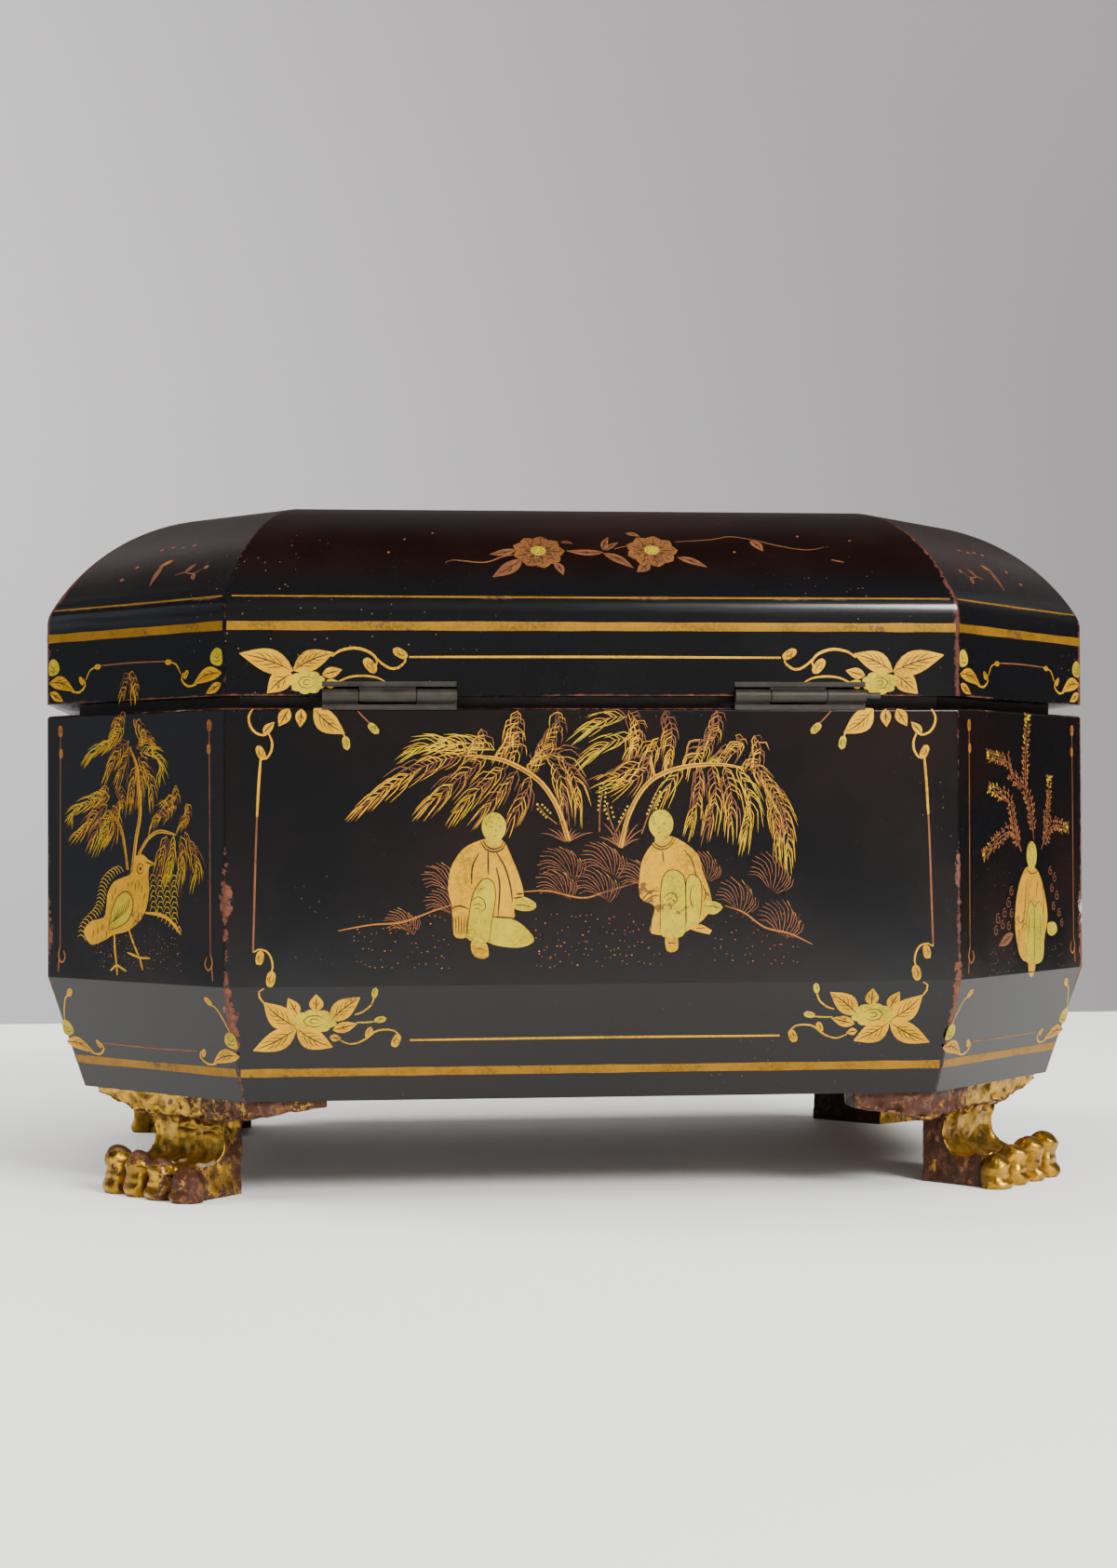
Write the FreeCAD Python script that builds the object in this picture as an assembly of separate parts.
"""Eight-sided lacquer ink box with a hinged domed lid, four carved feet, a lock and a fitted writing tray.

Millimetres, +Z up. The lock is on the front, which faces -Y, and the hinges are on the back.
The origin is on the ground, at the middle of the footprint of the whole, key and hinge barrels included.
"""
import FreeCAD
import Part
import math
import os

from FreeCAD import Vector

# ---------------------------------------------------------------- driving dimensions
# carcass outline: a rectangle with canted corners
width = 240.0            # overall, left to right
depth = 176.0            # overall, front to back, without hinges and key
cant_x = 41.0            # how much of the width each canted corner takes
cant_y = 45.0            # how much of the depth each canted corner takes
arris_radius = 1.2       # worn rounding of the upright edges

# heights of the carcass, from the ground up
foot_height = 22.0
plinth_height = 25.0     # the band that slopes in to the underside
wall_height = 59.0       # upright walls above the slope
parting_gap = 2.6        # open line between carcass and closed lid

# board thicknesses of the carcass
wall_thickness = 7.0
plinth_inset = 8.0       # how far the underside is drawn in
plinth_thickness = 13.0  # of the sloping boards at their top
base_thickness = 6.0
base_rebate = 2.5        # width of the seat that the plinth leaves for the base board
top_edge_radius = 0.8    # worn rounding along the carcass's upper edge

# lid
lid_rim_height = 18.0
lid_rim_thickness = 6.5
shoulder_radius = 6.0    # small arc from the upright rim into the dome
shoulder_turn = 30.0     # degrees that it turns
dome_radius = 46.0       # large arc of the dome
dome_shell = 6.5         # thickness of the dome's staves and of the top panel
hip_cap = 1.6            # the hips stay sharp over this last height below the top

# lip inside the carcass that guides the lid
lip_thickness = 2.4
lip_in_carcass = 12.0    # glued height
lip_in_lid = 3.4         # height above the lid's lower edge

# tray and the ledges it rests on
tray_drop = 22.0         # from the carcass's upper edge down to the tray's underside
tray_height = 20.0
tray_wall = 3.0
tray_floor = 2.5
tray_clearance = 0.6
divider_thickness = 2.5
divider_drop = 3.0       # dividers stand this much lower than the tray's wall
ledge_width = 6.0
ledge_height = 5.0
pull_radius = 11.0       # finger notches in the tray's ends
pull_depth = 7.0

# inkstone
stone_width = 76.0
stone_end_gap = 4.5      # from the tray's wall to the stone, and to the dropper at the other end
stone_height = 15.0
stone_corner = 5.0
stone_edge_radius = 0.8
stone_border = 6.0
hollow_corner = 3.0      # inside corners of the sunk face and the well
land_depth = 2.0         # sunk grinding face
well_depth = 8.0
well_length = 26.0

# water dropper, ink stick and brushes
dropper_length = 56.0
dropper_width = 26.0
dropper_height = 13.0
dropper_corner = 4.0
dropper_hole_radius = 1.2
stick_length = 68.0
stick_width = 19.0
stick_height = 9.0
stick_edge = 1.5
brush_radius = 3.4
brush_end_radius = 2.9   # at the handle's tail and where the hair leaves it
brush_handle_length = 101.0
brush_tip_length = 27.0
brush_root_length = 10.8 # of the hair, where it still swells
brush_point_radius = 0.4
item_gap = 3.0           # free space between the inkstone and what lies beside it
side_item_offset = 21.0  # middle of the brush and of the ink stick, from the divider beside it

# hinges
hinge_length = 28.5
hinge_from_corner = 34.8 # centre of each hinge from the back wall's end
hinge_play = 0.1         # notches are longer than the leaves by this much at each end
barrel_radius = 1.4
pin_radius = 0.7
pin_clearance = 0.03
knuckle_shares = (0.30, 0.43, 0.27)
knuckle_gap = 0.2
barrel_proud = 0.4       # hinge axis outside the back face
leaf_offset = 1.9        # from the hinge axis to a leaf's nearer face
leaf_thickness = 1.1
leaf_depth = 6.0         # leaf into the wall, from the back face
web_thickness = 0.9
loose_pin_reach = 3.2    # one pin has crept out of its barrel by this much
loose_pin_clearance = 0.3  # of the groove that the lid's rim has round its end

# screws
screw_radius = 0.9
screw_length = 5.0
screw_head_radius = 1.55
screw_head_height = 0.6
screw_clearance = 0.02
hinge_screw_count = 3

# lock
lock_width = 34.0
lock_height = 19.0
lock_depth = 5.0
lock_plate = 0.8         # thickness of the case's sheet
lock_back = 0.2          # case set back from the wall's inner face
lock_clearance = 0.1
selvedge_length = 46.0
selvedge_width = 5.4
selvedge_thickness = 1.3
selvedge_screw_inset = 3.0
strike_thickness = 1.15
staple_spacing = 16.0
staple_thickness = 1.2
staple_width = 2.8
staple_drop = 6.5        # below the carcass's upper edge
staple_clearance = 0.5
eye_width = 1.8
eye_height = 2.4
eye_floor = 1.2          # metal under the eye

# bolt and key
bolt_throw = 4.0
prong_width = 1.4
prong_height = 1.8
prong_gap = 0.5          # from the prong's end to the staple when unlocked
riser_gap = 0.5          # from the prong's riser to the staple when locked
riser_thickness = 2.0
bolt_bar_height = 2.3
bolt_bar_clearance = 0.7
bolt_tail_thickness = 0.7
talon_left = -1.1        # faces of the talons that the bit turns between
talon_right = 1.9
talon_thickness = 1.5
talon_drop_near = 2.2    # below the key's axis
talon_drop_far = 4.5
key_drop = 12.5          # key's axis below the carcass's upper edge
key_shank_radius = 1.4
key_hole_clearance = 0.35
bit_length = 4.5
bit_thickness = 1.4
bit_width = 2.0
key_reach = 7.0          # from the front face to the bow
bow_outer_radius = 7.0
bow_inner_radius = 4.0
bow_thickness = 2.0
bow_sink = 0.3           # how far the bow's ring runs into the collar
collar_radius = 2.3
collar_length = 1.6

# escutcheon
escutcheon_half_width = 8.0
escutcheon_half_height = 10.5
escutcheon_thickness = 0.8
escutcheon_pin_radius = 0.5
escutcheon_pin_inset = 1.6
escutcheon_pin_length = 1.2
escutcheon_pin_proud = 0.25

# feet
foot_setback = 1.0       # bracket's face behind the underside's edge
bracket_width = 10.5
bracket_thickness = 5.3  # over the leg
bracket_end_thickness = 1.6  # at its tip by the end wall
bracket_end_gap = 2.6    # bracket stops short of the end arris
bracket_wing = 17.5      # along the front or back edge
leg_back_width = 22.0
leg_front_width = 28.0
leg_length = 19.5        # from the wall's plane to the leg's back
neck_hollow = 13.5       # deepest point of the scooped front, from the wall's plane
neck_hollow_height = 12.5
neck_step = 0.5          # the leg's top lies this far behind the bracket's face
instep_height = 8.0
instep_length = 4.6      # behind the toes' centres
toe_heights = (10.6, 10.2, 9.2, 7.6)  # from the end wall towards the front or back
toe_radius = 3.9
toe_spread = 31.0        # over all the toes
toe_fan = 0.3            # the outer toes stand this much further back
# the feet are carved one by one: the leg's centre from the middle of the canted edge, towards the
# front or back; the toes past the wall's plane; the bracket at the corner and at its wing's tip
foot_carving = {
    "front_left": {"shift": 2.0, "reach": 2.0, "corner": 5.0, "tip": 2.2},
    "front_right": {"shift": 2.5, "reach": 1.5, "corner": 4.6, "tip": 1.8},
    "back_left": {"shift": 1.2, "reach": 3.7, "corner": 6.4, "tip": 3.8},
    "back_right": {"shift": 2.5, "reach": 1.0, "corner": 4.3, "tip": 1.5},
}

# cutting shapes run past what they cut by this much, and fused ones into each other by the second
past = 1.0
bite = 0.2

# ---------------------------------------------------------------- derived levels
z_base = foot_height
z_crease = z_base + plinth_height
z_rim = z_crease + wall_height
z_lid = z_rim + parting_gap
z_shoulder = z_lid + lid_rim_height
turn = math.radians(shoulder_turn)
shoulder_in = shoulder_radius * (1 - math.cos(turn))
shoulder_rise = shoulder_radius * math.sin(turn)
dome_in = shoulder_in + dome_radius * math.cos(turn)
z_dome_centre = z_shoulder + shoulder_rise - dome_radius * math.sin(turn)
z_top = z_dome_centre + dome_radius
z_tray = z_rim - tray_drop
z_hinge = z_lid
y_hinge = depth / 2 + barrel_proud
z_key = z_rim - key_drop
y_front = -depth / 2
tray_inset = wall_thickness + lip_thickness + tray_clearance
tray_half_depth = depth / 2 - tray_inset - tray_wall
stone_length = 2 * (tray_half_depth - stone_end_gap) - item_gap - dropper_width
hinge_offset = width / 2 - cant_x - hinge_from_corner
prong_length = bolt_throw - prong_gap + riser_gap + riser_thickness

# the footprint's middle: the key reaches out in front and the hinge barrels at the back
front_reach = depth / 2 + key_reach + 2 * bow_outer_radius - bow_sink
back_reach = y_hinge + barrel_radius
frame_shift = (front_reach - back_reach) / 2

# ---------------------------------------------------------------- outline of the carcass
cant_length = math.hypot(cant_x, cant_y)
cant_nx = cant_y / cant_length
cant_ny = cant_x / cant_length
cant_reach = (width / 2 - cant_x) * cant_nx + depth / 2 * cant_ny

# name, outward normal and distance from the centre, anticlockwise seen from above
SIDES = [
    ("right", (1, 0), width / 2),
    ("back_right", (cant_nx, cant_ny), cant_reach),
    ("back", (0, 1), depth / 2),
    ("back_left", (-cant_nx, cant_ny), cant_reach),
    ("left", (-1, 0), width / 2),
    ("front_left", (-cant_nx, -cant_ny), cant_reach),
    ("front", (0, -1), depth / 2),
    ("front_right", (cant_nx, -cant_ny), cant_reach),
]
SIDE_NAMES = [name for name, normal, reach in SIDES]
BACK = SIDE_NAMES.index("back")
FRONT = SIDE_NAMES.index("front")
CORNERS = [i for i, name in enumerate(SIDE_NAMES) if "_" in name]


def corner(index, inset, z=0.0):
    """The outline's corner between side index and the next one, drawn in by inset."""
    (ax, ay), a = SIDES[index % 8][1:]
    (bx, by), b = SIDES[(index + 1) % 8][1:]
    a, b = a - inset, b - inset
    det = ax * by - ay * bx
    return Vector((a * by - b * ay) / det, (ax * b - bx * a) / det, z)


def outline_wire(inset, z, radius=0.0):
    """The eight-sided outline at a height, with its corners rounded if a radius is given."""
    points = [corner(i, inset, z) for i in range(8)]
    if radius <= 0:
        return Part.makePolygon(points + [points[0]])
    edges = []
    last = None
    first = None
    for i, p in enumerate(points):
        to_before = (points[i - 1] - p).normalize()
        to_after = (points[(i + 1) % 8] - p).normalize()
        half = to_before.getAngle(to_after) / 2
        reach = radius / math.tan(half)
        start = p + to_before * reach
        end = p + to_after * reach
        bisector = (to_before + to_after).normalize()
        centre = p + bisector * (radius / math.sin(half))
        middle = centre - bisector * radius
        if last is not None:
            edges.append(Part.LineSegment(last, start).toShape())
        else:
            first = start
        edges.append(Part.Arc(start, middle, end).toShape())
        last = end
    edges.append(Part.LineSegment(last, first).toShape())
    return Part.Wire(edges)


def outline_prism(inset, z0, z1, radius=0.0):
    """A solid block of the outline between two heights."""
    return Part.Face(outline_wire(inset, z0, radius)).extrude(Vector(0, 0, z1 - z0))


def wedge(index):
    """The share of space between the mitres at the two ends of one side, as far in as the top panel."""
    ends = [(index - 1, -past), (index, -past), (index, dome_in + past), (index - 1, dome_in + past)]
    points = [corner(i, inset, -past) for i, inset in ends]
    return Part.Face(Part.makePolygon(points + [points[0]])).extrude(Vector(0, 0, z_top + 2 * past))


def place(side, along, inset, z):
    """A point beside a side's middle: along it, drawn in from its face, at a height."""
    nx, ny = SIDES[side][1]
    middle = (corner(side - 1, 0) + corner(side, 0)) * 0.5
    return middle + Vector(-nx * inset - ny * along, -ny * inset + nx * along, z)


def block(x0, x1, y0, y1, z0, z1):
    """A box from its two corners."""
    return Part.makeBox(x1 - x0, y1 - y0, z1 - z0, Vector(x0, y0, z0))


def rod(radius, start, end):
    """A round bar between two points."""
    way = end - start
    return Part.makeCylinder(radius, way.Length, start, way)


def upright_edges(shape):
    """The edges of a block that run straight up."""
    return [e for e in shape.Edges if e.tangentAt(e.FirstParameter).isEqual(Vector(0, 0, 1), 1e-6)
            or e.tangentAt(e.FirstParameter).isEqual(Vector(0, 0, -1), 1e-6)]


def screw(tip_z, head_z, x, y, grow=0.0):
    """A countersunk screw standing on a point; head_z is the flush face, and grow widens it to a hole."""
    down = 1 if head_z > tip_z else -1
    neck_z = head_z - down * screw_head_height
    shank = rod(screw_radius + grow, Vector(x, y, tip_z - down * grow * 2), Vector(x, y, neck_z))
    head = Part.makeCone(
        screw_radius + grow,
        screw_head_radius + grow,
        screw_head_height,
        Vector(x, y, neck_z),
        Vector(0, 0, down),
    )
    return shank.fuse(head).removeSplitter()


# ---------------------------------------------------------------- sub-parts
parts = {}


def add(name, *shapes):
    """Keeps one node; several shapes stay separate solids in it."""
    parts[name] = list(shapes)


def hinge_centres():
    return [("right", hinge_offset), ("left", -hinge_offset)]


def hinge_screw_places(centre):
    """Screws along one hinge, evenly spaced."""
    pitch = hinge_length / hinge_screw_count
    y = depth / 2 - leaf_depth / 2
    return [(centre + (i - (hinge_screw_count - 1) / 2) * pitch, y) for i in range(hinge_screw_count)]


def hinge_notch(centre, z0, z1):
    """Room for a leaf in a wall's edge."""
    return block(
        centre - hinge_length / 2 - hinge_play,
        centre + hinge_length / 2 + hinge_play,
        depth / 2 - leaf_depth,
        depth / 2 + leaf_depth,
        z0,
        z1,
    )


def loose_pin(grow=0.0):
    """The end of the left hinge's pin that stands out, and grown, its groove in the lid's rim."""
    x = -hinge_offset - hinge_length / 2
    end = x - loose_pin_reach - grow
    return rod(pin_radius + grow, Vector(end, y_hinge, z_hinge), Vector(x, y_hinge, z_hinge))


def body_leaf_screws(grow=0.0):
    top = z_hinge - leaf_offset
    return [
        screw(top - screw_length, top, x, y, grow)
        for name, centre in hinge_centres()
        for x, y in hinge_screw_places(centre)
    ]


def lid_leaf_screws(grow=0.0):
    low = z_hinge + leaf_offset
    return [
        screw(low + screw_length, low, x, y, grow)
        for name, centre in hinge_centres()
        for x, y in hinge_screw_places(centre)
    ]


def lock_screw_places():
    x = selvedge_length / 2 - selvedge_screw_inset
    y = y_front + selvedge_centre
    return [(-x, y), (x, y)]


selvedge_centre = wall_thickness - lock_back - lock_depth / 2
staple_centre = selvedge_centre


def selvedge_screws(grow=0.0):
    top = z_rim + selvedge_thickness
    return [screw(top - screw_length, top, x, y, grow) for x, y in lock_screw_places()]


def strike_screws(grow=0.0):
    low = z_lid - strike_thickness
    return [screw(low + screw_length, low, x, y, grow) for x, y in lock_screw_places()]


def lock_box(grow=0.0):
    """The lock case's outside, and grown, its mortise in the front wall."""
    inner = y_front + wall_thickness - lock_back
    return block(
        -lock_width / 2 - grow,
        lock_width / 2 + grow,
        inner - lock_depth - grow,
        inner + grow,
        z_rim - lock_height - grow,
        z_rim,
    )


def key_hole(y0, y1, grow):
    """A round hole with a slot below it, between two depths."""
    radius = key_shank_radius + grow
    round_hole = rod(radius, Vector(0, y0, z_key), Vector(0, y1, z_key))
    slot = bit_thickness / 2 + grow
    return round_hole.fuse(block(-slot, slot, y0, y1, z_key - bit_length - grow, z_key))


def make_walls():
    shell = outline_prism(0, z_crease, z_rim, arris_radius)
    shell = shell.makeFillet(top_edge_radius, [
        e for e in shell.Edges if all(abs(v.Z - z_rim) < 1e-6 for v in e.Vertexes)
    ])
    shell = shell.cut(outline_prism(wall_thickness, z_crease - past, z_rim + past))
    for i, (name, normal, reach) in enumerate(SIDES):
        board = shell.common(wedge(i))
        if i == BACK:
            for side, centre in hinge_centres():
                board = board.cut(hinge_notch(centre, z_hinge - leaf_offset - leaf_thickness, z_rim + past))
            for s in body_leaf_screws(screw_clearance):
                board = board.cut(s)
        if i == FRONT:
            inner = y_front + wall_thickness
            mortise = lock_box(lock_clearance)
            mortise = mortise.fuse(block(
                -lock_width / 2 - lock_clearance, lock_width / 2 + lock_clearance,
                inner - lock_back, inner + past, z_rim - lock_height - lock_clearance, z_rim + past,
            ))
            board = board.cut(mortise).cut(key_hole(y_front - past, inner, key_hole_clearance))
            for s in selvedge_screws(screw_clearance):
                board = board.cut(s)
            for s in escutcheon_pins(screw_clearance):
                board = board.cut(s)
        add("wall_" + name, board)


def make_plinths():
    outside = Part.makeLoft([
        outline_wire(plinth_inset, z_base, arris_radius),
        outline_wire(0, z_crease, arris_radius),
    ], True, True)
    ring = outside.cut(outline_prism(plinth_thickness, z_base - past, z_crease + past))
    ring = ring.cut(outline_prism(plinth_inset + base_rebate, z_base - past, z_base + base_thickness))
    for i, (name, normal, reach) in enumerate(SIDES):
        add("plinth_" + name, ring.common(wedge(i)))


def make_base():
    add("base_board", outline_prism(plinth_inset + base_rebate, z_base, z_base + base_thickness))


def vault(side, inset):
    """The lid's cross-section through one pair of opposite sides, drawn out lengthwise."""
    (nx, ny), reach = SIDES[side][1:]
    half = reach - inset
    radius = dome_radius - max(0.0, inset)
    centre = reach - dome_in
    across = Vector(nx, ny, 0)

    def at(u, z):
        return across * u + Vector(0, 0, z)

    def on_arc(u0, z0, r, angle):
        return u0 + r * math.sin(angle), z0 + r * math.cos(angle)

    crown = (centre, z_dome_centre + radius)
    full = math.pi / 2 - turn
    if inset <= 0:
        shoulder = (reach - shoulder_radius, z_shoulder)
        spring = on_arc(centre, z_dome_centre, radius, full)
        arcs = [
            ((reach, z_shoulder), on_arc(*shoulder, shoulder_radius, math.pi / 2 - turn / 2), spring),
            (spring, on_arc(centre, z_dome_centre, radius, full / 2), crown),
        ]
        z_low = z_lid
    else:
        z_low = z_lid - past
        full = math.asin(min(1.0, (dome_in - lid_rim_thickness) / radius))
        spring = on_arc(centre, z_dome_centre, radius, full)
        half = spring[0]
        arcs = [(spring, on_arc(centre, z_dome_centre, radius, full / 2), crown)]
    edges = []
    for sign in (1, -1):
        for start, middle, end in arcs:
            edges.append(Part.Arc(*[at(sign * u, z) for u, z in (start, middle, end)]).toShape())
        u, z = arcs[0][0]
        edges.append(Part.LineSegment(at(sign * half, z_low), at(sign * u, z)).toShape())
    edges.append(Part.LineSegment(at(crown[0], crown[1]), at(-crown[0], crown[1])).toShape())
    edges.append(Part.LineSegment(at(half, z_low), at(-half, z_low)).toShape())
    face = Part.Face(Part.Wire(Part.__sortEdges__(edges)))
    along = Vector(-ny, nx, 0) * (width + depth)
    face.translate(along * -0.5)
    return face.extrude(along)


def lid_solid(inset):
    """The closed block inside the lid's outer (inset 0) or inner face."""
    solid = vault(0, inset)
    for side in (1, 2, 3):
        solid = solid.common(vault(side, inset))
    return solid


def make_lid():
    outside = lid_solid(0)
    z_cut = z_top - hip_cap
    below = outside.common(block(-width, width, -depth, depth, z_lid - past, z_cut))
    above = outside.common(block(-width, width, -depth, depth, z_cut, z_top + past))
    arrises = []
    for e in below.Edges:
        a, b = e.Vertexes[0].Point, e.Vertexes[-1].Point
        if abs(a.z - b.z) > dome_shell / 2:
            arrises.append(e)
    below = below.makeFillet(arris_radius, arrises)
    shell = below.fuse(above).cut(lid_solid(dome_shell))
    rims = shell.common(block(-width, width, -depth, depth, z_lid - past, z_shoulder))
    dome = shell.common(block(-width, width, -depth, depth, z_shoulder, z_top + past))
    panel = outline_prism(dome_in, z_top - dome_shell - past, z_top + past)
    for i, (name, normal, reach) in enumerate(SIDES):
        share = wedge(i)
        rim = rims.common(share)
        if i == BACK:
            for side, centre in hinge_centres():
                rim = rim.cut(hinge_notch(centre, z_lid - past, z_hinge + leaf_offset + leaf_thickness))
            for s in lid_leaf_screws(screw_clearance):
                rim = rim.cut(s)
            rim = rim.cut(loose_pin(loose_pin_clearance))
        if i == FRONT:
            for s in strike_screws(screw_clearance):
                rim = rim.cut(s)
        add("lid_rim_" + name, rim)
        add("lid_stave_" + name, dome.cut(panel).common(share).removeSplitter())
    add("lid_top_panel", dome.common(panel).removeSplitter())


def make_lip():
    z0, z1 = z_rim - lip_in_carcass, z_lid + lip_in_lid
    ring = outline_prism(wall_thickness, z0, z1)
    ring = ring.cut(outline_prism(wall_thickness + lip_thickness, z0 - past, z1 + past))
    add("rim_lip", *[ring.common(wedge(i)) for i in range(8)])


def make_ledges():
    z0, z1 = z_tray - ledge_height, z_tray
    ring = outline_prism(wall_thickness, z0, z1)
    ring = ring.cut(outline_prism(wall_thickness + ledge_width, z0 - past, z1 + past))
    add("tray_ledges", *[ring.common(wedge(i)) for i in range(8)])


# ---------------------------------------------------------------- tray and writing things
tray_inner_x = stone_width / 2 + item_gap
divider_z = z_tray + tray_height - divider_drop
stone_y0 = stone_end_gap - tray_half_depth


def make_tray():
    z0, z1 = z_tray, z_tray + tray_height
    tray = outline_prism(tray_inset, z0, z1, arris_radius)
    tray = tray.cut(outline_prism(tray_inset + tray_wall, z0 + tray_floor, z1 + past))
    for sign in (-1, 1):
        x = sign * (width / 2 - tray_inset - tray_wall / 2)
        z = z1 + pull_radius - pull_depth
        reach = Vector(tray_wall, 0, 0)
        tray = tray.cut(rod(pull_radius, Vector(x, 0, z) - reach, Vector(x, 0, z) + reach))
    add("tray", tray)
    dividers = []
    for sign in (-1, 1):
        x = sign * (tray_inner_x + divider_thickness / 2)
        half = divider_thickness / 2
        reach = tray_half_depth
        dividers.append(block(x - half, x + half, -reach, reach, z0 + tray_floor, divider_z))
    add("tray_dividers", *dividers)


def make_inkstone():
    z0 = z_tray + tray_floor
    z1 = z0 + stone_height
    y0, y1 = stone_y0, stone_y0 + stone_length
    half = stone_width / 2
    stone = block(-half, half, y0, y1, z0, z1)
    stone = stone.makeFillet(stone_corner, upright_edges(stone))
    top_edges = [e for e in stone.Edges if all(abs(v.Z - z1) < 1e-6 for v in e.Vertexes)]
    stone = stone.makeFillet(stone_edge_radius, top_edges)
    # the grinding face is level, then falls into the well at the back
    ya, yb = y0 + stone_border, y1 - stone_border
    slope = well_depth - land_depth
    profile = [
        (ya, z1 + past),
        (ya, z1 - land_depth),
        (yb - well_length, z1 - land_depth),
        (yb - well_length + slope, z1 - well_depth),
        (yb, z1 - well_depth),
        (yb, z1 + past),
    ]
    inner = half - stone_border
    points = [Vector(-inner, y, z) for y, z in profile]
    hollow = Part.Face(Part.makePolygon(points + [points[0]])).extrude(Vector(2 * inner, 0, 0))
    hollow = hollow.makeFillet(hollow_corner, upright_edges(hollow))
    add("inkstone", stone.cut(hollow))


def make_dropper():
    z0 = z_tray + tray_floor
    y0 = stone_y0 + stone_length + item_gap
    half = dropper_length / 2
    dropper = block(-half, half, y0, y0 + dropper_width, z0, z0 + dropper_height)
    dropper = dropper.makeFillet(dropper_corner, [
        e for e in dropper.Edges if max(v.Z for v in e.Vertexes) > z0 + 1e-6
    ])
    y = y0 + dropper_width / 2
    top = z0 + dropper_height
    for x in (-half / 2, half / 2):
        hole = rod(dropper_hole_radius, Vector(x, y, top + past), Vector(x, y, top - dropper_height / 2))
        dropper = dropper.cut(hole)
    add("water_dropper", dropper)


def make_ink_stick():
    z0 = z_tray + tray_floor
    x = tray_inner_x + divider_thickness + side_item_offset
    half = stick_length / 2
    stick = block(x - stick_width / 2, x + stick_width / 2, -half, half, z0, z0 + stick_height)
    add("ink_stick", stick.makeFillet(stick_edge, stick.Edges))


def make_brush():
    x = -(tray_inner_x + divider_thickness + side_item_offset)
    z = z_tray + tray_floor + brush_radius
    tail = Vector(x, -(brush_handle_length + brush_tip_length) / 2, z)
    neck = tail + Vector(0, brush_handle_length, 0)
    along = Vector(0, 1, 0)
    belly = neck + along * brush_root_length
    point_length = brush_tip_length - brush_root_length
    add("brush_handle", Part.makeCone(brush_end_radius, brush_radius, brush_handle_length, tail, along))
    root = Part.makeCone(brush_end_radius, brush_radius, brush_root_length, neck, along)
    add("brush_tip", root.fuse(Part.makeCone(brush_radius, brush_point_radius, point_length, belly, along)))


# ---------------------------------------------------------------- hinges
def knuckle_spans(centre):
    """The three knuckles along the barrel, from left to right."""
    spans = []
    x = centre - hinge_length / 2
    for i, share in enumerate(knuckle_shares):
        length = share * hinge_length
        low = x + (knuckle_gap / 2 if i else 0)
        high = x + length - (knuckle_gap / 2 if i < len(knuckle_shares) - 1 else 0)
        spans.append((low, high))
        x += length
    return spans


def hinge_leaf(centre, knuckles, upward):
    """A leaf let into an edge, with a web to its knuckles."""
    sign = 1 if upward else -1
    near, far = z_hinge + sign * leaf_offset, z_hinge + sign * (leaf_offset + leaf_thickness)
    leaf = block(
        centre - hinge_length / 2,
        centre + hinge_length / 2,
        depth / 2 - leaf_depth,
        depth / 2 + barrel_proud / 2,
        min(near, far),
        max(near, far),
    )
    for x0, x1 in knuckles:
        barrel = rod(barrel_radius, Vector(x0, y_hinge, z_hinge), Vector(x1, y_hinge, z_hinge))
        web = block(
            x0, x1,
            y_hinge - barrel_radius, y_hinge - barrel_radius + web_thickness,
            min(z_hinge, near), max(z_hinge, near),
        )
        leaf = leaf.fuse(barrel).fuse(web)
    reach = Vector(hinge_length, 0, 0)
    middle = Vector(centre, y_hinge, z_hinge)
    leaf = leaf.cut(rod(pin_radius + pin_clearance, middle - reach, middle + reach))
    return leaf.removeSplitter()


def make_hinges():
    pins = []
    for side, centre in hinge_centres():
        left, middle, right = knuckle_spans(centre)
        lower = hinge_leaf(centre, [left, right], False)
        for s in body_leaf_screws(screw_clearance):
            lower = lower.cut(s)
        upper = hinge_leaf(centre, [middle], True)
        for s in lid_leaf_screws(screw_clearance):
            upper = upper.cut(s)
        add("hinge_leaf_body_" + side, lower)
        add("hinge_leaf_lid_" + side, upper)
        half = hinge_length / 2
        start, end = Vector(centre - half, y_hinge, z_hinge), Vector(centre + half, y_hinge, z_hinge)
        pin = rod(pin_radius, start, end)
        if side == "left":
            pin = pin.fuse(loose_pin()).removeSplitter()
        pins.append(pin)
    add("hinge_pins", *pins)


# ---------------------------------------------------------------- lock and key
def staple_xs():
    return (-staple_spacing / 2, staple_spacing / 2)


z_eye_low = z_rim - staple_drop + eye_floor
z_eye_high = z_eye_low + eye_height


def staple_slots(z0, z1):
    """Openings in the selvedge plate for the staples."""
    half_x = staple_thickness / 2 + staple_clearance
    half_y = staple_width / 2 + staple_clearance
    y = y_front + staple_centre
    return [block(x - half_x, x + half_x, y - half_y, y + half_y, z0, z1) for x in staple_xs()]


def make_lock_case():
    case = lock_box()
    inner = y_front + wall_thickness - lock_back
    case = case.cut(block(
        -lock_width / 2 + lock_plate, lock_width / 2 - lock_plate,
        inner - lock_depth + lock_plate, inner - lock_plate,
        z_rim - lock_height + lock_plate, z_rim + past,
    ))
    outer = inner - lock_depth
    case = case.cut(key_hole(outer - past, outer + lock_plate + bite, key_hole_clearance))
    y = y_front + selvedge_centre
    plate = block(
        -selvedge_length / 2, selvedge_length / 2,
        y - selvedge_width / 2, y + selvedge_width / 2,
        z_rim, z_rim + selvedge_thickness,
    )
    for slot in staple_slots(z_rim - past, z_rim + selvedge_thickness + past):
        plate = plate.cut(slot)
    for s in selvedge_screws(screw_clearance):
        plate = plate.cut(s)
    add("lock_case", case.fuse(plate).removeSplitter())


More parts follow.
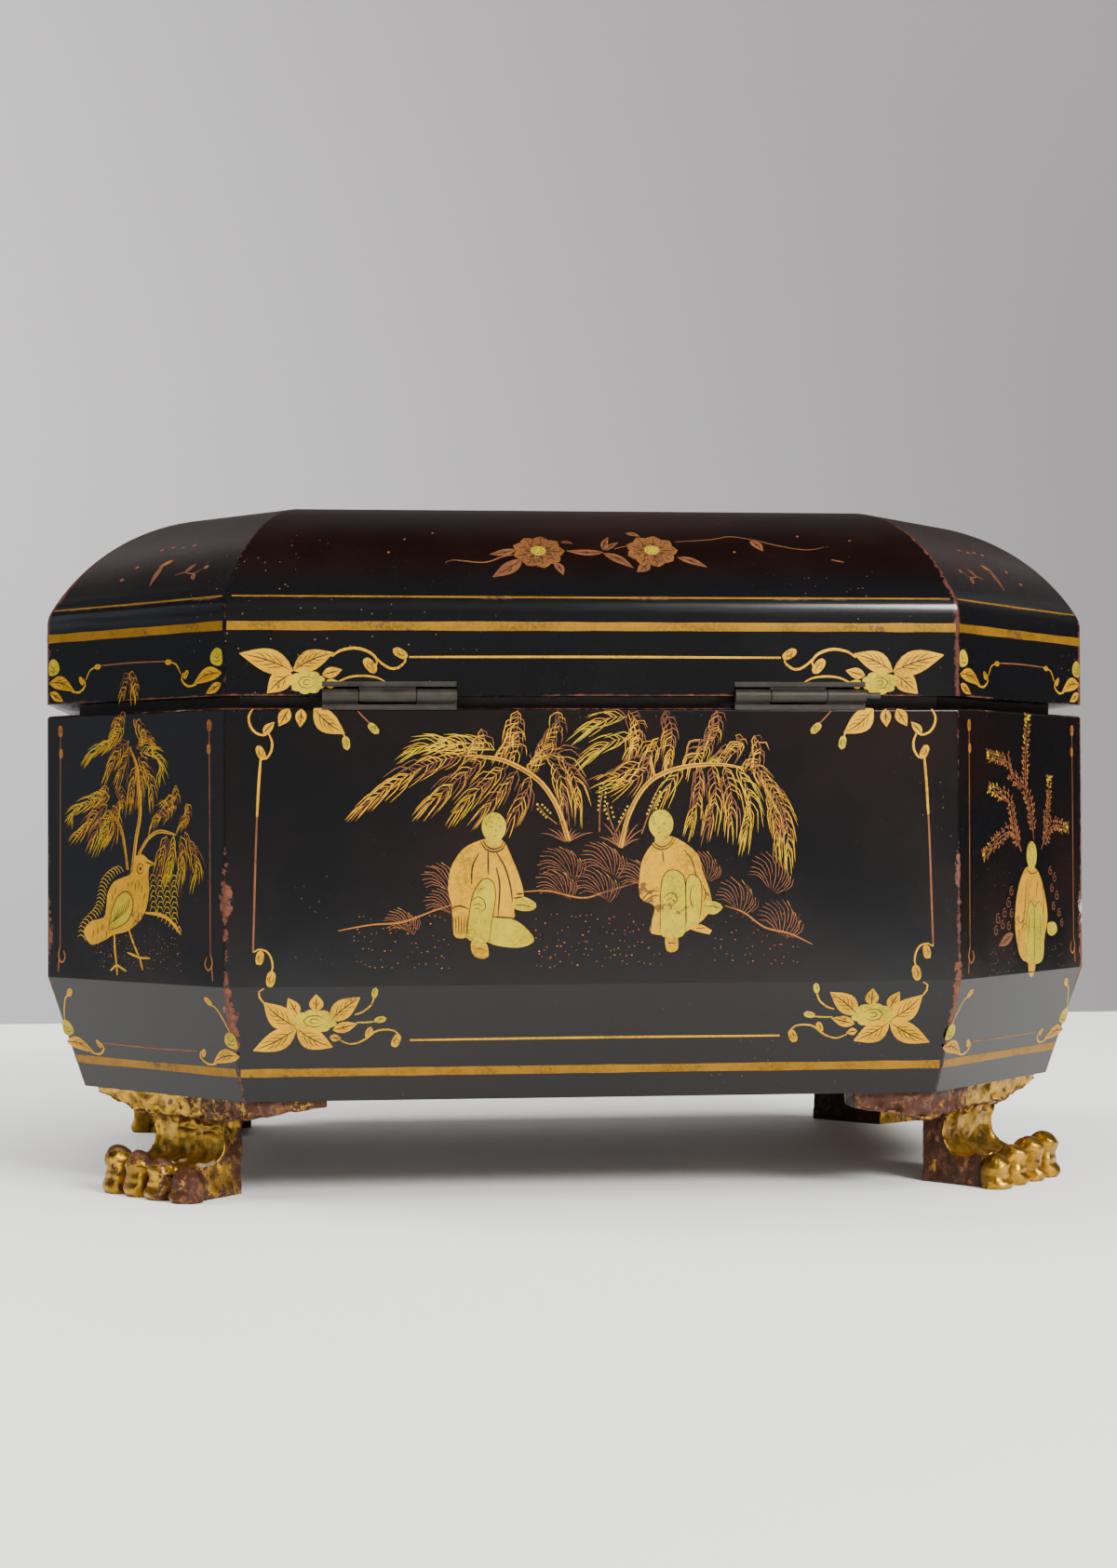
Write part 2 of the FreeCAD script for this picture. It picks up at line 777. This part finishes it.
def make_strike():
    y = y_front + staple_centre
    z0 = z_lid - strike_thickness
    plate = block(
        -selvedge_length / 2, selvedge_length / 2,
        y - selvedge_width / 2, y + selvedge_width / 2,
        z0, z_lid,
    )
    for x in staple_xs():
        half = staple_thickness / 2
        staple = block(
            x - half, x + half,
            y - staple_width / 2, y + staple_width / 2,
            z_rim - staple_drop, z0 + bite,
        )
        eye = block(
            x - half - past, x + half + past,
            y - eye_width / 2, y + eye_width / 2,
            z_eye_low, z_eye_high,
        )
        staple = staple.cut(eye)
        plate = plate.fuse(staple)
    for s in strike_screws(screw_clearance):
        plate = plate.cut(s)
    add("strike_plate", plate.removeSplitter())


def make_screws():
    add("screws_body", *body_leaf_screws(), *selvedge_screws())
    add("screws_lid", *lid_leaf_screws(), *strike_screws())


def make_bolt():
    y = y_front + staple_centre
    z_prong = (z_eye_low + z_eye_high - prong_height) / 2
    z_bar_top = z_rim - staple_drop - bolt_bar_clearance
    bolt = None
    left_end = None
    for x in staple_xs():
        tip = x - staple_thickness / 2 - prong_gap
        root = tip - prong_length
        prong = block(root, tip, y - prong_width / 2, y + prong_width / 2, z_prong, z_prong + prong_height)
        riser = block(
            root, root + riser_thickness,
            y - prong_width / 2, y + prong_width / 2,
            z_bar_top - bolt_bar_height, z_prong + prong_height,
        )
        bolt = prong.fuse(riser) if bolt is None else bolt.fuse(prong).fuse(riser)
        left_end = root if left_end is None else left_end
    bar = block(
        left_end, staple_spacing / 2,
        y - prong_width / 2, y + prong_width / 2,
        z_bar_top - bolt_bar_height, z_bar_top,
    )
    # the tail hangs behind the key's end and carries the two talons
    inner = y_front + wall_thickness - lock_back - lock_plate
    y_tail = inner - bolt_tail_thickness - lock_clearance
    x0, x1 = talon_left - talon_thickness, talon_right + talon_thickness
    y_back = y_tail + bolt_tail_thickness
    tail = block(x0, x1, y_tail, y_back, z_key - talon_drop_far, z_bar_top)
    bridge = block(x0, x1, y - prong_width / 2, y_back, z_bar_top - bolt_bar_height, z_bar_top)
    bolt = bolt.fuse(bar).fuse(tail).fuse(bridge)
    for low in (x0, talon_right):
        bolt = bolt.fuse(block(
            low, low + talon_thickness,
            y_tail - bit_width, y_back,
            z_key - talon_drop_far, z_key - talon_drop_near,
        ))
    add("lock_bolt", bolt.removeSplitter())


def make_key():
    inner = y_front + wall_thickness - lock_back - lock_plate
    y_end = inner - bolt_tail_thickness - 3 * lock_clearance
    y_bow = y_front - key_reach
    key = rod(key_shank_radius, Vector(0, y_bow, z_key), Vector(0, y_end, z_key))
    bit = block(-bit_thickness / 2, bit_thickness / 2, y_end - bit_width, y_end, z_key - bit_length, z_key)
    collar = rod(collar_radius, Vector(0, y_bow, z_key), Vector(0, y_bow + collar_length, z_key))
    centre = Vector(0, y_bow - bow_outer_radius + bow_sink, z_key)
    half = Vector(bow_thickness / 2, 0, 0)
    bow = rod(bow_outer_radius, centre - half, centre + half)
    bow = bow.cut(rod(bow_inner_radius, centre - half * 2, centre + half * 2))
    key = key.fuse(bit).fuse(collar).fuse(bow)
    add("key", key.removeSplitter())


def escutcheon_pin_places():
    w = escutcheon_half_width - escutcheon_pin_inset
    h = escutcheon_half_height - escutcheon_pin_inset
    return [(-w, z_key), (w, z_key), (0, z_key - h), (0, z_key + h)]


def escutcheon_pins(grow=0.0):
    y0 = y_front - escutcheon_thickness - escutcheon_pin_proud
    return [
        rod(escutcheon_pin_radius + grow, Vector(x, y0, z), Vector(x, y_front + escutcheon_pin_length, z))
        for x, z in escutcheon_pin_places()
    ]


def make_escutcheon():
    centre = Vector(0, y_front, z_key)
    ellipse = Part.Ellipse(
        centre + Vector(0, 0, escutcheon_half_height),
        centre + Vector(escutcheon_half_width, 0, 0),
        centre,
    )
    plate = Part.Face(Part.Wire(ellipse.toShape())).extrude(Vector(0, -escutcheon_thickness, 0))
    plate = plate.cut(key_hole(y_front - escutcheon_thickness - past, y_front + past, key_hole_clearance))
    for s in escutcheon_pins(screw_clearance):
        plate = plate.cut(s)
    add("escutcheon", plate)
    add("escutcheon_pins", *escutcheon_pins())


# ---------------------------------------------------------------- feet
def bracket_section(outer, inner, thickness):
    """An upright four-cornered section of a foot's bracket under two points of the underside."""
    down = Vector(0, 0, -thickness)
    return Part.makePolygon([outer, inner, inner + down, outer + down, outer])


def make_foot(side):
    carving = foot_carving[SIDES[side][0]]
    # going round the outline, every second canted edge starts at an end wall
    end_first = SIDE_NAMES[side - 1] in ("left", "right")
    end, flank = (side - 1, side) if end_first else (side, side - 1)
    way = 1 if end_first else -1
    shift = way * carving["shift"]
    face = plinth_inset + foot_setback
    # the bracket runs along the canted edge and turns on along the front or back edge
    along_cant = (corner(flank, face) - corner(end, face)).normalize()
    along_wing = (corner(flank + way, face) - corner(flank, face)).normalize()
    in_from_cant = place(side, 0, 1, 0) - place(side, 0, 0, 0)
    in_from_wing = Vector(0, -1 if corner(flank, 0).y > 0 else 1, 0)
    end_tip = corner(end, face, z_base) + along_cant * bracket_end_gap
    turning = corner(flank, face, z_base)
    wing_tip = turning + along_wing * bracket_wing
    legs = [place(side, shift + way * s * leg_back_width / 2, face, z_base) for s in (-1, 1)]
    sections = [
        bracket_section(end_tip, end_tip + in_from_cant * bracket_width, bracket_end_thickness),
        bracket_section(legs[0], legs[0] + in_from_cant * bracket_width, bracket_thickness),
        bracket_section(legs[1], legs[1] + in_from_cant * bracket_width, bracket_thickness),
        bracket_section(turning, corner(flank, face + bracket_width, z_base), carving["corner"]),
        bracket_section(wing_tip, wing_tip + in_from_wing * bracket_width, carving["tip"]),
    ]
    foot = Part.makeLoft(sections[:2], True, True)
    for a, b in zip(sections[1:], sections[2:]):
        foot = foot.fuse(Part.makeLoft([a, b], True, True))
    # the leg: a side profile with a scooped front, drawn across and trimmed to its taper
    toe_line = toe_radius - carving["reach"]
    half = toe_spread / 2

    def on_profile(inset, z):
        return place(side, shift - half, inset, z)

    neck = face + neck_step
    path = [(toe_line, 0), (leg_length, 0), (leg_length, z_base), (neck, z_base)]
    path = [on_profile(*point) for point in path + [(neck, z_base - bracket_thickness)]]
    edges = [Part.LineSegment(a, b).toShape() for a, b in zip(path, path[1:])]
    instep = on_profile(toe_line + instep_length, instep_height)
    toe_root = on_profile(toe_line, min(toe_heights) - toe_radius / 2)
    edges.append(Part.Arc(path[-1], on_profile(neck_hollow, neck_hollow_height), instep).toShape())
    edges.append(Part.LineSegment(instep, toe_root).toShape())
    edges.append(Part.LineSegment(toe_root, path[0]).toShape())
    leg = Part.Face(Part.Wire(edges)).extrude(place(side, half, 0, 0) - place(side, -half, 0, 0))
    plan = [
        place(side, shift + s * wide / 2, inset, -past)
        for inset, wide, s in (
            (leg_length + past, leg_back_width, -1),
            (toe_line - past, leg_front_width, -1),
            (toe_line - past, leg_front_width, 1),
            (leg_length + past, leg_back_width, 1),
        )
    ]
    trim = Part.Face(Part.makePolygon(plan + [plan[0]])).extrude(Vector(0, 0, z_base + 2 * past))
    foot = foot.fuse(leg.common(trim))
    # toes: upright fingers with round tops
    for i, height in enumerate(toe_heights):
        share = i / (len(toe_heights) - 1) * 2 - 1
        along, inset = shift + way * share * (half - toe_radius), toe_line + toe_fan * abs(share)
        top = place(side, along, inset, height - toe_radius)
        toe = rod(toe_radius, place(side, along, inset, 0), top)
        foot = foot.fuse(toe.fuse(Part.makeSphere(toe_radius, top)))
    return foot.common(block(-width, width, -depth, depth, 0, z_base)).removeSplitter()


def make_feet():
    for side in CORNERS:
        add("foot_" + SIDES[side][0], make_foot(side))


# ---------------------------------------------------------------- build and write
make_base()
make_plinths()
make_walls()
make_lip()
make_ledges()
make_lid()
make_tray()
make_inkstone()
make_dropper()
make_ink_stick()
make_brush()
make_hinges()
make_lock_case()
make_strike()
make_screws()
make_bolt()
make_key()
make_escutcheon()
make_feet()

os.makedirs("parts", exist_ok=True)
for name, shapes in sorted(parts.items()):
    solids = [solid for shape in shapes for solid in shape.Solids]
    whole = solids[0] if len(solids) == 1 else Part.makeCompound(solids)
    whole = whole.translated(Vector(0, frame_shift, 0))
    if not all(s.isValid() for s in solids):
        raise ValueError(name + " is not a sound solid")
    whole.exportStep(f"parts/{name}.step")
print(len(parts), "nodes,", sum(len(shape.Solids) for shapes in parts.values() for shape in shapes), "solids")
